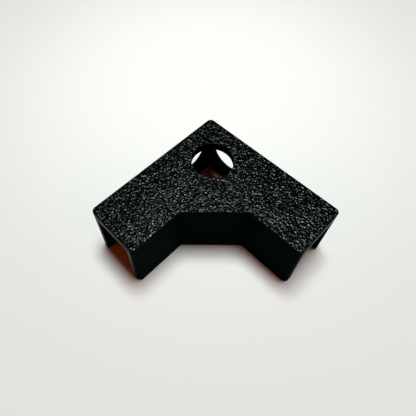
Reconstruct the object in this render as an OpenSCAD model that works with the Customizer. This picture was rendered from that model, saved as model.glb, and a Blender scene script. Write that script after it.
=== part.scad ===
// Corner bracket: two equal arms at a right angle, each an upside-down channel.
// A flat plate closes the top, walls run down both sides of the arms, and the
// arm ends and the underside are open. The inside corner is bevelled at 45 degrees.
// Three equal round holes meet near the outer corner, one in the plate and one in
// each outer wall. The bracket stands on the rims of its walls, plate up.

/* [Arms] */
// Length of each arm, from the outer corner to its open end (mm)
arm_length = 54; // [46:1:90]
// Width of each arm over both walls (mm)
arm_width = 20; // [18:0.5:26]
// Height from the wall rims to the top of the plate (mm)
height = 23.5; // [22:0.5:40]
// Leg of the 45 degree bevel across the inside corner (mm)
bevel_leg = 15; // [6:0.5:20]

/* [Walls] */
// Thickness of the plate on top (mm)
plate_thickness = 3.2; // [1.6:0.2:4]
// Thickness of the side walls (mm)
wall_thickness = 3; // [1.6:0.2:3]

/* [Holes] */
// Diameter of the three holes (mm)
hole_diameter = 14.2; // [4:0.1:14.4]
// Distance of the plate hole's axis from both outer faces (mm)
plate_hole_inset = 13.5; // [11.5:0.5:20]
// Distance of a wall hole's axis from the other outer face (mm)
wall_hole_inset = 10.3; // [10.2:0.1:24]
// Height of a wall hole's axis above the wall rims (mm)
wall_hole_height = 11.3; // [9:0.1:12.5]

/* [Edges] */
// Radius of the upright outside corners, seen from above (mm)
corner_radius = 1.6; // [1:0.1:2]
// Leg of the small 45 degree bevel around the top of the plate (mm)
edge_bevel = 0.3; // [0.2:0.1:0.9]

/* [Hidden] */
$fn = 64;

// How far a cut runs past the face that it opens
cut_past = 1;
// Inset of the core: more than the edge's bevel, less than the depth of the edge pieces
core_inset = (corner_radius + edge_bevel) / 2;

// Plan of a bracket with sharp corners, counter-clockwise from the outer corner
function plan(length) = [
    [0, 0],
    [length, 0],
    [length, arm_width],
    [arm_width + bevel_leg, arm_width],
    [arm_width, arm_width + bevel_leg],
    [arm_width, length],
    [0, length]
];
// Point i of an outline, counted round and round
function point(outline, i) = outline[(i + len(outline)) % len(outline)];
// Heading of the side that leaves point i, in degrees from +X
function heading(outline, i) =
    let (step = point(outline, i + 1) - point(outline, i))
    atan2(step.y, step.x);
// Turn at point i in degrees: positive at an outside corner, negative at a bend
function turn(outline, i) =
    let (change = heading(outline, i) - heading(outline, i - 1))
    change - 360 * round(change / 360);
// The outline with all its sides moved in by depth
function inset(outline, depth) = [
    for (i = [0 : len(outline) - 1])
        let (half = turn(outline, i) / 2, mean = heading(outline, i) - half)
        outline[i] + depth / cos(half) * [-sin(mean), cos(mean)]
];

// The bracket's own outline, and the centres of its corner arcs
sides = plan(arm_length);
arc_centres = inset(sides, corner_radius);
corners = len(sides);

// How far the side runs on past point i: it stops short of a corner's arc, and crosses a bend
function run_on(i) = turn(sides, i) > 0 ? -corner_radius : corner_radius;

// Section of the block's outermost stretch: the outer face is at x = corner_radius, its top edge bevelled
module edge_section() {
    polygon([
        [0, 0],
        [corner_radius, 0],
        [corner_radius, height - edge_bevel],
        [corner_radius - edge_bevel, height],
        [0, height]
    ]);
}

// Straight stretch of the edge along the side that leaves point i
module edge_side(i) {
    span = norm(point(sides, i + 1) - sides[i]);
    translate(sides[i])
        rotate(heading(sides, i))
        translate([-run_on(i), corner_radius])
        rotate([90, 0, 90])
        mirror([1, 0])
        linear_extrude(run_on(i) + span + run_on(i + 1))
        edge_section();
}

// Arc of the edge around the outside corner at point i
module edge_corner(i) {
    translate(arc_centres[i])
        rotate(heading(sides, i - 1) - 90)
        rotate_extrude(angle = turn(sides, i))
        edge_section();
}

// The bracket's outside as one solid block, with its rounded corners and bevelled top edge
module block() {
    linear_extrude(height)
        polygon(inset(sides, core_inset));
    for (i = [0 : corners - 1]) {
        edge_side(i);
        if (turn(sides, i) > 0)
            edge_corner(i);
    }
}

// The hollow under the plate: the same plan one wall in, its arms run out through the open ends
module channel() {
    translate([0, 0, -cut_past])
        linear_extrude(height - plate_thickness + cut_past)
        polygon(inset(plan(arm_length + wall_thickness + cut_past), wall_thickness));
}

// Hole through the plate
module plate_hole() {
    translate([plate_hole_inset, plate_hole_inset, height - plate_thickness - cut_past])
        cylinder(d = hole_diameter, h = plate_thickness + 2 * cut_past);
}

// Hole through the outer wall along the Y axis, from outside to the wall's inner face
module wall_hole() {
    translate([-cut_past, wall_hole_inset, wall_hole_height])
        rotate([0, 90, 0])
        cylinder(d = hole_diameter, h = wall_thickness + cut_past);
}

// The whole bracket, standing on its rims over the middle of its box
module corner_bracket() {
    color([0.06, 0.07, 0.07])
        translate([-arm_length / 2, -arm_length / 2, 0])
        difference() {
            block();
            channel();
            plate_hole();
            wall_hole();
            mirror([1, -1])
                wall_hole();
        }
}

corner_bracket();
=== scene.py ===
# %% [markdown]
# A printed corner bracket
#
# The real object is one piece of black printed plastic: two channel-shaped arms that meet at a right
# angle, with a flat plate on top. The plate was printed face down on a rough sheet, so its face carries
# that sheet's fine grain, while the walls are smooth. The construction is already there, as a packed
# model in metres. This lesson gives it its looks, and it starts by loading that model as a frame that
# nothing here moves or resizes.

# %% Load the frame
import math
import random

import bmesh
import bpy
from mathutils import Matrix, Vector, kdtree


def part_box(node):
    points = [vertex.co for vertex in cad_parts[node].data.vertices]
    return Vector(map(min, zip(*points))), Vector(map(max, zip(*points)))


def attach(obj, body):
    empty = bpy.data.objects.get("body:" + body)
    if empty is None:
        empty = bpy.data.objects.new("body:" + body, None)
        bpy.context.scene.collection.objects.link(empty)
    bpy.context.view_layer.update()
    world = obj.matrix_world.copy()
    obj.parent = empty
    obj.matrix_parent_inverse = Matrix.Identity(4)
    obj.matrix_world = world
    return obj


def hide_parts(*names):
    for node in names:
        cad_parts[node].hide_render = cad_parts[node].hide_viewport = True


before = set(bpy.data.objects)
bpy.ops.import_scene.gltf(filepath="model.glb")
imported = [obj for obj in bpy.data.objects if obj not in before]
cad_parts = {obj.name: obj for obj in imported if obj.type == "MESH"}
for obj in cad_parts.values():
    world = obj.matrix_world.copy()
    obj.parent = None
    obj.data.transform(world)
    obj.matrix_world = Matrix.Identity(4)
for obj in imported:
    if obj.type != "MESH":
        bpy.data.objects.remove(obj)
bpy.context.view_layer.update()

MM = 0.001
low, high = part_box("corner_bracket")
print("frame:", [round((b - a) / MM, 2) for a, b in zip(low, high)], "mm")

# %% [markdown]
# The body of the bracket
#
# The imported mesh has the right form, but each of its faces has its own copy of the corner points, so to
# Blender it is a set of loose patches. A new body could be modelled by hand, and then it might drift from
# the real sizes. A copy that is welded along its seams keeps every size, and modifiers can work on it
# because it is closed.

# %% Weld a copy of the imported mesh
weld_distance = 0.001 * MM
flat_angle = math.radians(1)


def welded_copy(source, name):
    """A new object with the source's form, closed along its seams."""
    mesh = bpy.data.meshes.new(name)
    form = bmesh.new()
    form.from_mesh(source.data)
    bmesh.ops.remove_doubles(form, verts=form.verts, dist=weld_distance)
    bmesh.ops.dissolve_limit(form, angle_limit=flat_angle, verts=form.verts, edges=form.edges)
    form.to_mesh(mesh)
    form.free()
    copy = bpy.data.objects.new(name, mesh)
    bpy.context.scene.collection.objects.link(copy)
    return copy


def open_edges(obj):
    """How many edges of a mesh don't lie between exactly two faces: none in a closed one."""
    form = bmesh.new()
    form.from_mesh(obj.data)
    count = sum(not edge.is_manifold for edge in form.edges)
    form.free()
    return count


bracket = welded_copy(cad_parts["corner_bracket"], "bracket")
print("bracket:", len(bracket.data.polygons), "faces,", open_edges(bracket), "open edges")

# %% [markdown]
# Soft edges
#
# No printed edge is a perfect knife edge: the nozzle rounds it by about its own line width. Without that,
# an edge in a render is a line with no width, and it never catches any light. A Bevel modifier rounds
# every edge that is sharper than a given angle. It also gives the new faces a material of their own, for
# the light wear on an edge.

# %% Round the edges
WALL, EDGE, GRAIN, CUT = range(4)
edge_round = 0.10 * MM
sharp_angle = math.radians(25)


def bake_modifiers(obj):
    """Makes what the modifiers show the object's own mesh."""
    bpy.context.view_layer.update()
    shown = obj.evaluated_get(bpy.context.evaluated_depsgraph_get())
    mesh = bpy.data.meshes.new_from_object(shown)
    obj.modifiers.clear()
    obj.data = mesh


for finish in ("satin_wall", "worn_edge", "grained_face", "cut_end"):
    bracket.data.materials.append(bpy.data.materials.new(finish))
rounding = bracket.modifiers.new("rounding", "BEVEL")
rounding.width = edge_round
rounding.segments = 2
rounding.limit_method = "ANGLE"
rounding.angle_limit = sharp_angle
rounding.material = EDGE
bake_modifiers(bracket)
print("soft edges:", len(bracket.data.polygons), "faces,", open_edges(bracket), "open edges")

# %% [markdown]
# Where the pebbles lie
#
# The rough printing sheet leaves shallow round pebbles on the plate, about six tenths of a millimetre
# apart. A bump in the material would shade like them, but the outline and an exported mesh would stay
# flat, so here they are real geometry. First their middles are laid out in staggered rows, and seeded
# dice push each one about, so that no rows show and every run gives the same plate. A k-d tree then finds
# the pebbles that are nearest to any place.

# %% Scatter the pebbles
pebble_spacing = 0.60 * MM
pebble_jitter = 0.42
row_pitch = 0.87
pebble_unevenness = 0.04 * MM
pebble_slope = 0.42
pebble_variety = 0.7
grain_margin = 2 * MM
dice = random.Random(7)


def scattered_pebbles():
    """Middles of pebbles in staggered rows, each pushed about a little, and each one's drop and bulge."""
    reach = high.x + grain_margin
    rows = math.ceil(2 * reach / (row_pitch * pebble_spacing))
    across = math.ceil(2 * reach / pebble_spacing)
    middles = kdtree.KDTree(rows * across)
    shapes = []
    for row in range(rows):
        for column in range(across):
            x = (column + 0.5 * (row % 2) + pebble_jitter * dice.uniform(-1, 1)) * pebble_spacing - reach
            y = (row_pitch * row + pebble_jitter * dice.uniform(-1, 1)) * pebble_spacing - reach
            middles.insert((x, y, 0), len(shapes))
            bulge = pebble_slope / pebble_spacing * math.exp(pebble_variety * dice.uniform(-1, 1))
            shapes.append((pebble_unevenness * dice.random(), bulge))
    middles.balance()
    return middles, shapes


middles, shapes = scattered_pebbles()
print("pebbles:", len(shapes))

# %% [markdown]
# The shape of the grain
#
# Each pebble is a round cap, some fuller than others, and the grain at any place is the tallest cap
# there. Sculpting by hand would take days, and a formula gives it everywhere at once. A slab that is
# taller than the bracket gets a fine grid on top, lowered to those caps. A Boolean modifier then keeps
# only what lies in both, so the pebbles run out to the plate's edges and to the rim of its hole.

# %% Shape the pebbles
grain_step = 0.14 * MM
grain_depth = 0.20 * MM
near_pebbles = 4


def pebble_depth(x, y):
    """How far the grain lies below its highest pebbles: round caps, the tallest of those around a place."""
    depth = grain_depth
    for middle, number, distance in middles.find_n((x, y, 0), near_pebbles):
        drop, bulge = shapes[number]
        depth = min(depth, drop + bulge * distance ** 2)
    return depth


def grain_slab():
    """A closed slab under the grain: a fine grid on top, and a flat floor below the bracket."""
    reach = high.x + grain_margin
    count = round(2 * reach / grain_step)
    form = bmesh.new()
    bmesh.ops.create_grid(form, x_segments=count, y_segments=count, size=reach)
    for vert in form.verts:
        vert.co.z = high.z - pebble_depth(vert.co.x, vert.co.y)
    rim = [edge for edge in form.edges if edge.is_boundary]
    skirt = bmesh.ops.extrude_edge_only(form, edges=rim)["geom"]
    for vert in (part for part in skirt if isinstance(part, bmesh.types.BMVert)):
        vert.co.z = low.z - grain_margin
    bmesh.ops.contextual_create(form, geom=[edge for edge in form.edges if edge.is_boundary])
    bmesh.ops.triangulate(form, faces=form.faces)
    bmesh.ops.recalc_face_normals(form, faces=form.faces)
    mesh = bpy.data.meshes.new("grain_slab")
    form.to_mesh(mesh)
    form.free()
    return bpy.data.objects.new("grain_slab", mesh)


slab = grain_slab()
bpy.context.scene.collection.objects.link(slab)
print("grain slab:", len(slab.data.polygons), "faces,", open_edges(slab), "open edges")

# %% [markdown]
# Cutting the plate
#
# The Boolean modifier needs two closed forms, and it gives a closed one back. Its Manifold solver is the
# quickest for such dense meshes. The slab has then done its work and is removed.

# %% Cut the plate with the grain
cut = bracket.modifiers.new("grain", "BOOLEAN")
cut.operation = "INTERSECT"
cut.solver = "MANIFOLD"
cut.object = slab
bake_modifiers(bracket)
bpy.data.objects.remove(slab)
print("grained bracket:", len(bracket.data.polygons), "faces,", open_edges(bracket), "open edges")

# %% [markdown]
# Sorting the faces
#
# The bracket has four finishes: pebbles, smooth walls, slightly worn edges, and the cut ends of the arms.
# They could be painted on by hand. Here the place and slope of a face tell which it is: pebbles lie high
# and face up, the edge of the plate is steeper, and the ends lie on the far sides of the box. Weighted
# normals then let the large flat walls shade flat, although the narrow rounded strips beside them shade
# smoothly.

# %% Give each face its finish
grain_floor = high.z - 1.2 * grain_depth
steepest_pebble = math.cos(math.radians(40))
rim_floor = high.z - 0.4 * MM
end_gap = 0.05 * MM
steepest_rim = 0.3
facing_out = 0.9


def finish_of(face):
    """The finish that a face's place and slope call for, or else the one that it has."""
    if face.center.z > grain_floor and face.normal.z > steepest_pebble:
        return GRAIN
    if face.center.z > rim_floor and face.normal.z > steepest_rim:
        return EDGE
    at_end = max(face.center.x - high.x, face.center.y - high.y) > -end_gap
    if at_end and max(face.normal.x, face.normal.y) > facing_out:
        return CUT
    return face.material_index


for face in bracket.data.polygons:
    face.material_index = finish_of(face)
    face.use_smooth = True
bracket.data.set_sharp_from_angle(angle=sharp_angle)
shading = bracket.modifiers.new("flat_walls", "WEIGHTED_NORMAL")
shading.mode = "FACE_AREA"
shading.keep_sharp = True
bake_modifiers(bracket)
finishes = [face.material_index for face in bracket.data.polygons]
counts = [finishes.count(kind) for kind in (WALL, EDGE, GRAIN, CUT)]
slopes = sorted(face.normal.z for face in bracket.data.polygons if face.material_index == GRAIN)
print("faces on walls, edges, grain and cut ends:", counts)
for share in (0.5, 0.1, 0.02):
    slope = math.degrees(math.acos(slopes[int(share * len(slopes))]))
    print("pebble slope:", round(slope, 1), "degrees or more on", share, "of the grain's faces")

# %% [markdown]
# Tools for the finishes
#
# All four finishes are the same black plastic with a slight green cast. What differs is how the surface
# breaks up the light. Each finish is a tree of nodes: noise makes fields of change, and ramps turn them
# into colour, gloss and fine relief. A few short helpers keep the trees readable, as each one adds a
# node, sets it and links it.

# %% Helpers for node trees
def add_node(tree, kind, **settings):
    """A new node with its settings made."""
    node = tree.nodes.new(kind)
    for name, value in settings.items():
        setattr(node, name, value)
    return node


def plastic(name, roughness, specular):
    """A material with a plain plastic shader, and its node tree."""
    material = bpy.data.materials[name]
    material.use_nodes = True
    shader = material.node_tree.nodes["Principled BSDF"]
    shader.inputs["Roughness"].default_value = roughness
    shader.inputs["Specular IOR Level"].default_value = specular
    return material.node_tree, shader


def noise_field(tree, scale_mm, detail=3.0):
    """Noise in the object's own space with blots of about the given size."""
    place = add_node(tree, "ShaderNodeTexCoord")
    field = add_node(tree, "ShaderNodeTexNoise")
    field.inputs["Scale"].default_value = 1 / (scale_mm * MM)
    field.inputs["Detail"].default_value = detail
    tree.links.new(place.outputs["Object"], field.inputs["Vector"])
    return field


def ramp_between(tree, source, dark, light, start=0.3, stop=0.7):
    """A ramp that runs between two colours as the source goes from start to stop."""
    ramp = add_node(tree, "ShaderNodeValToRGB")
    ramp.color_ramp.elements[0].position = start
    ramp.color_ramp.elements[1].position = stop
    ramp.color_ramp.elements[0].color = (*dark, 1)
    ramp.color_ramp.elements[1].color = (*light, 1)
    tree.links.new(source, ramp.inputs["Fac"])
    return ramp


def spread_of(tree, source, least, most):
    """The source's 0 to 1 mapped to another range."""
    spread = add_node(tree, "ShaderNodeMapRange")
    spread.inputs["To Min"].default_value = least
    spread.inputs["To Max"].default_value = most
    tree.links.new(source, spread.inputs["Value"])
    return spread.outputs["Result"]


def math_of(tree, operation, first, second):
    """A math node on two sockets, or on a socket and a plain number."""
    node = add_node(tree, "ShaderNodeMath", operation=operation)
    tree.links.new(first, node.inputs[0])
    if isinstance(second, float):
        node.inputs[1].default_value = second
    else:
        tree.links.new(second, node.inputs[1])
    return node.outputs["Value"]


def bump_from(tree, source, depth_mm, shader):
    """Fine relief on the shader, as deep as given."""
    bump = add_node(tree, "ShaderNodeBump")
    bump.inputs["Distance"].default_value = depth_mm * MM
    tree.links.new(source, bump.inputs["Height"])
    tree.links.new(bump.outputs["Normal"], shader.inputs["Normal"])


# %% [markdown]
# The grained face
#
# The pebbles are glossy, so each one mirrors the lamp as a small glint, and the black between them stays
# black. The sheet wasn't equally rough all over, so some pebbles came out brighter than others. A noise
# about as large as a pebble varies the shine, and a finer one varies the roughness, where paint on top
# would only look like dots.

# %% The grained face
glint_tint = (0.95, 1.0, 1.0, 1)
dull = (0.015, 0.015, 0.015)
shiny = (0.24, 0.24, 0.24)
tree, shader = plastic("grained_face", roughness=0.14, specular=0.18)
shader.inputs["Specular Tint"].default_value = glint_tint
blotches = noise_field(tree, scale_mm=3)
dark_tone = (0.0002, 0.0010, 0.0008)
light_tone = (0.0005, 0.0017, 0.0015)
tone = ramp_between(tree, blotches.outputs["Fac"], dark=dark_tone, light=light_tone)
tree.links.new(tone.outputs["Color"], shader.inputs["Base Color"])
speckle = noise_field(tree, scale_mm=0.35)
roughness = spread_of(tree, speckle.outputs["Fac"], least=0.10, most=0.20)
tree.links.new(roughness, shader.inputs["Roughness"])
bump_from(tree, speckle.outputs["Fac"], depth_mm=0.006, shader=shader)
gloss = noise_field(tree, scale_mm=0.55, detail=1)
shine = ramp_between(tree, gloss.outputs["Fac"], dark=dull, light=shiny, start=0.4, stop=0.64)
tree.links.new(shine.outputs["Color"], shader.inputs["Specular IOR Level"])
print("grained face:", len(tree.nodes), "nodes")

# %% [markdown]
# The satin walls
#
# The walls were printed in layers of a fifth of a millimetre, and they are so dark and dull that they
# hardly mirror anything. A wave texture across the height gives the layers as fine relief, and a slow
# noise makes colour and roughness drift a little, as they do on printed plastic. Modelled layers would
# cost faces that nobody could see.

# %% The satin walls
layer_height = 0.2 * MM
band_at_scale_one = math.pi / 10
tree, shader = plastic("satin_wall", roughness=0.45, specular=0.0018)
blotches = noise_field(tree, scale_mm=4)
dark_tone = (0.0001, 0.0028, 0.0019)
light_tone = (0.0003, 0.0042, 0.0030)
tone = ramp_between(tree, blotches.outputs["Fac"], dark=dark_tone, light=light_tone)
tree.links.new(tone.outputs["Color"], shader.inputs["Base Color"])
roughness = spread_of(tree, blotches.outputs["Fac"], least=0.38, most=0.52)
tree.links.new(roughness, shader.inputs["Roughness"])
place = add_node(tree, "ShaderNodeTexCoord")
layers = add_node(tree, "ShaderNodeTexWave", wave_type="BANDS", bands_direction="Z")
layers.inputs["Scale"].default_value = band_at_scale_one / layer_height
tree.links.new(place.outputs["Object"], layers.inputs["Vector"])
bump_from(tree, layers.outputs["Fac"], depth_mm=0.008, shader=shader)
print("satin wall:", len(tree.nodes), "nodes")

# %% [markdown]
# The worn edges
#
# Handling rubs an edge first, so the rounded strips are a touch paler and shinier than the walls. They
# are faces of their own since the rounding, so the wear needs no mask, and only a fine noise breaks it
# up.

# %% The worn edges
tree, shader = plastic("worn_edge", roughness=0.4, specular=0.05)
scuffs = noise_field(tree, scale_mm=0.8, detail=5)
dark_tone = (0.0015, 0.0022, 0.0021)
light_tone = (0.006, 0.007, 0.0068)
tone = ramp_between(tree, scuffs.outputs["Fac"], dark=dark_tone, light=light_tone)
tree.links.new(tone.outputs["Color"], shader.inputs["Base Color"])
roughness = spread_of(tree, scuffs.outputs["Fac"], least=0.32, most=0.5)
tree.links.new(roughness, shader.inputs["Roughness"])
bump_from(tree, scuffs.outputs["Fac"], depth_mm=0.01, shader=shader)
print("worn edge:", len(tree.nodes), "nodes")

# %% [markdown]
# The cut ends
#
# The open ends of the arms are as dark as the walls, except for a thin lip over the mouth of the channel
# and down its inner side, where the last printed line turns round and scatters the light that grazes it.
# A strip of its own would be a sliver too thin for a clean mesh, so the material works out how far a place
# lies outside the mouth. Both ends lie at the same distance from the middle, so the smaller of X and Y
# tells the place across an arm on either of them.

# %% The cut ends
arm_width = 20 * MM
wall_thickness = 3 * MM
plate_thickness = 3.2 * MM
lip_width = 0.9 * MM
dark_end = 0.004
pale_lip = 0.10
lip_tint = (1.0, 0.95, 0.86, 1)

tree, shader = plastic("cut_end", roughness=0.35, specular=pale_lip)
shader.inputs["Specular Tint"].default_value = lip_tint
scuffs = noise_field(tree, scale_mm=0.6, detail=4)
dark_tone = (0.0010, 0.0014, 0.0012)
light_tone = (0.0030, 0.0034, 0.0030)
tone = ramp_between(tree, scuffs.outputs["Fac"], dark=dark_tone, light=light_tone)
tree.links.new(tone.outputs["Color"], shader.inputs["Base Color"])
bump_from(tree, scuffs.outputs["Fac"], depth_mm=0.01, shader=shader)
place = add_node(tree, "ShaderNodeTexCoord")
axes = add_node(tree, "ShaderNodeSeparateXYZ")
tree.links.new(place.outputs["Object"], axes.inputs["Vector"])
across = math_of(tree, "MINIMUM", axes.outputs["X"], axes.outputs["Y"])
past_wall = math_of(tree, "SUBTRACT", across, low.x + arm_width - wall_thickness)
past_plate = math_of(tree, "SUBTRACT", axes.outputs["Z"], high.z - plate_thickness)
past_mouth = math_of(tree, "MAXIMUM", past_wall, past_plate)
lip = math_of(tree, "COMPARE", past_mouth, lip_width / 2)
# The third input says how near counts as equal
lip.node.inputs[2].default_value = lip_width / 2
level = spread_of(tree, lip, least=dark_end, most=pale_lip)
tree.links.new(level, shader.inputs["Specular IOR Level"])
print("cut end:", len(tree.nodes), "nodes")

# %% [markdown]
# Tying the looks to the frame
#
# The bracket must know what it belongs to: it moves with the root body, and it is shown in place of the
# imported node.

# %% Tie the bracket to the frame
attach(bracket, "root")
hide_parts("corner_bracket")
print("bracket rides on root and stands for the packed node")

# %% [markdown]
# The floor
#
# The bracket stands on a plain pale surface. A plane is enough of a shape for it, and it is wide enough
# to reach far behind the bracket in low views. It is matt, so it mirrors nothing, and all that shows on
# it is the soft shadow.

# %% A pale floor
floor_reach = 3.0
floor_colour = (0.84, 0.85, 0.82, 1)
bpy.ops.mesh.primitive_plane_add(size=2 * floor_reach, location=(0, 0, low.z))
floor = bpy.context.object
floor.name = "floor"
paper = bpy.data.materials.new("pale_paper")
paper.use_nodes = True
shader = paper.node_tree.nodes["Principled BSDF"]
shader.inputs["Base Color"].default_value = floor_colour
shader.inputs["Roughness"].default_value = 0.9
shader.inputs["Specular IOR Level"].default_value = 0.0
floor.data.materials.append(paper)
print("floor:", 2 * floor_reach, "m wide")

# %% [markdown]
# The lamps
#
# The glints on the pebbles need a lamp that is bright and not too large, and the soft shadow needs one
# that isn't small. One oval area lamp high above gives both, and it lights the floor evenly because it is
# far away. A spot lamp with a fully soft rim adds the broad pool of light behind the bracket.

# %% Lamps
def aim_at(obj, target):
    """Turns a lamp so that it shines at a place."""
    obj.rotation_euler = (target - obj.location).to_track_quat("-Z", "Y").to_euler()


def add_lamp(name, kind, place, target, energy):
    """A lamp at a place, turned to its target and hidden from the camera."""
    data = bpy.data.lights.new(name, kind)
    data.energy = energy
    lamp = bpy.data.objects.new(name, data)
    lamp.location = place
    aim_at(lamp, target)
    lamp.visible_camera = False
    bpy.context.scene.collection.objects.link(lamp)
    return data


lamp_height = 8.0
lamp_place = Vector((-0.146, -0.056, 1.0)) * lamp_height
under_lamp = Vector((lamp_place.x, lamp_place.y, 0))
softbox = add_lamp("softbox", "AREA", lamp_place, under_lamp, energy=604)
softbox.shape = "ELLIPSE"
softbox.size = 0.31 * lamp_height
softbox.size_y = 0.48 * lamp_height
softbox.color = (0.91, 1.0, 1.0)

pool_place = Vector((-0.060, -0.059, 0.30))
under_pool = Vector((pool_place.x, pool_place.y, 0))
pool = add_lamp("pool", "SPOT", pool_place, under_pool, energy=1.06)
pool.spot_size = math.radians(47.9)
pool.spot_blend = 1.0
pool.shadow_soft_size = 0.04
print("lamps:", [lamp.name for lamp in bpy.data.lights])

# %% [markdown]
# The room
#
# What the lamps leave in shade is lit by the room, which is dim, and warm low down in front of the two
# open ends. A plain grey world would turn the deep shade grey and the pebbles dull. A dot product tells
# how closely a direction points at a part of the room. The Light Path node tells the kinds of rays apart:
# light that fills the shade is warm, gloss mirrors only a pale horizon and a dim front, and the camera
# itself sees a plain pale backdrop.

# %% The room
def blended(tree, share, first, second):
    """The first colour where the share is 0, and the second where it is 1."""
    mix = add_node(tree, "ShaderNodeMix", data_type="RGBA")
    tree.links.new(share, mix.inputs["Factor"])
    tree.links.new(first, mix.inputs["A"])
    tree.links.new(second, mix.inputs["B"])
    return mix.outputs["Result"]


def toward(tree, direction, aim):
    """How closely a direction points along an aim: most straight along it, 0 square to it."""
    turned = add_node(tree, "ShaderNodeVectorMath", operation="DOT_PRODUCT")
    turned.inputs[1].default_value = aim
    tree.links.new(direction, turned.inputs[0])
    return turned.outputs["Value"]


world = bpy.data.worlds.new("room")
bpy.context.scene.world = world
world.use_nodes = True
tree = world.node_tree
direction = add_node(tree, "ShaderNodeTexCoord")
front = toward(tree, direction.outputs["Generated"], aim=(0.6, 0.6, -0.35))
left_end = toward(tree, direction.outputs["Generated"], aim=(0.94, -0.34, 0.0))
right_end = toward(tree, direction.outputs["Generated"], aim=(-0.34, 0.94, 0.0))
ends = math_of(tree, "MAXIMUM", left_end, right_end)
dim = (0.004, 0.004, 0.004)
warm = (1.0, 0.1250, 0.0)
faint = (0.06, 0.06, 0.06)
fill = ramp_between(tree, ends, dark=dim, light=warm, start=0.65, stop=0.95)
sheen = ramp_between(tree, front, dark=dim, light=faint, start=0.15, stop=0.6)

horizon_start = 0.08
horizon_stop = 0.13
backdrop = (0.80, 0.80, 0.78, 1)
axes = add_node(tree, "ShaderNodeSeparateXYZ")
tree.links.new(direction.outputs["Generated"], axes.inputs["Vector"])
above = add_node(tree, "ShaderNodeMapRange")
above.inputs["From Min"].default_value = horizon_start
above.inputs["From Max"].default_value = horizon_stop
tree.links.new(axes.outputs["Z"], above.inputs["Value"])
pale = add_node(tree, "ShaderNodeRGB")
pale.outputs["Color"].default_value = backdrop
mirrored = blended(tree, above.outputs["Result"], pale.outputs["Color"], sheen.outputs["Color"])

rays = add_node(tree, "ShaderNodeLightPath")
seen = add_node(tree, "ShaderNodeMath", operation="ADD")
tree.links.new(rays.outputs["Is Camera Ray"], seen.inputs[0])
tree.links.new(rays.outputs["Is Transmission Ray"], seen.inputs[1])
light = blended(tree, rays.outputs["Is Glossy Ray"], fill.outputs["Color"], mirrored)
shown = blended(tree, seen.outputs["Value"], light, pale.outputs["Color"])
tree.links.new(shown, tree.nodes["Background"].inputs["Color"])
bpy.context.scene.view_settings.view_transform = "Standard"
print("room:", len(tree.nodes), "nodes")

# %% [markdown]
# The camera
#
# The photograph was taken from close by, so its perspective is strong, and its frame is cut off centre
# from a larger picture. The camera stands where that perspective says, and a small lens shift moves the
# frame without tilting it.

# %% Place the camera
camera_place = Vector((47.25, 36.18, 128.64)) * MM
camera_aim = Vector((-3.18, -19.12, 23.50)) * MM
camera_roll = math.radians(-2.06)
focal_length = 33.93
sensor_width = 36
frame_shift = (0.0708, -0.0954)

data = bpy.data.cameras.new("camera")
data.lens = focal_length
data.sensor_width = sensor_width
data.shift_x, data.shift_y = frame_shift
data.clip_start = 1 * MM
camera = bpy.data.objects.new("camera", data)
bpy.context.scene.collection.objects.link(camera)
forward = (camera_aim - camera_place).normalized()
level_right = forward.cross(Vector((0, 0, 1))).normalized()
right = Matrix.Rotation(-camera_roll, 3, forward) @ level_right
up = right.cross(forward)
turned = Matrix((right, up, -forward)).transposed().to_4x4()
camera.matrix_world = Matrix.Translation(camera_place) @ turned
bpy.context.scene.camera = camera
print("camera:", [round(value / MM, 1) for value in camera.location], "mm")
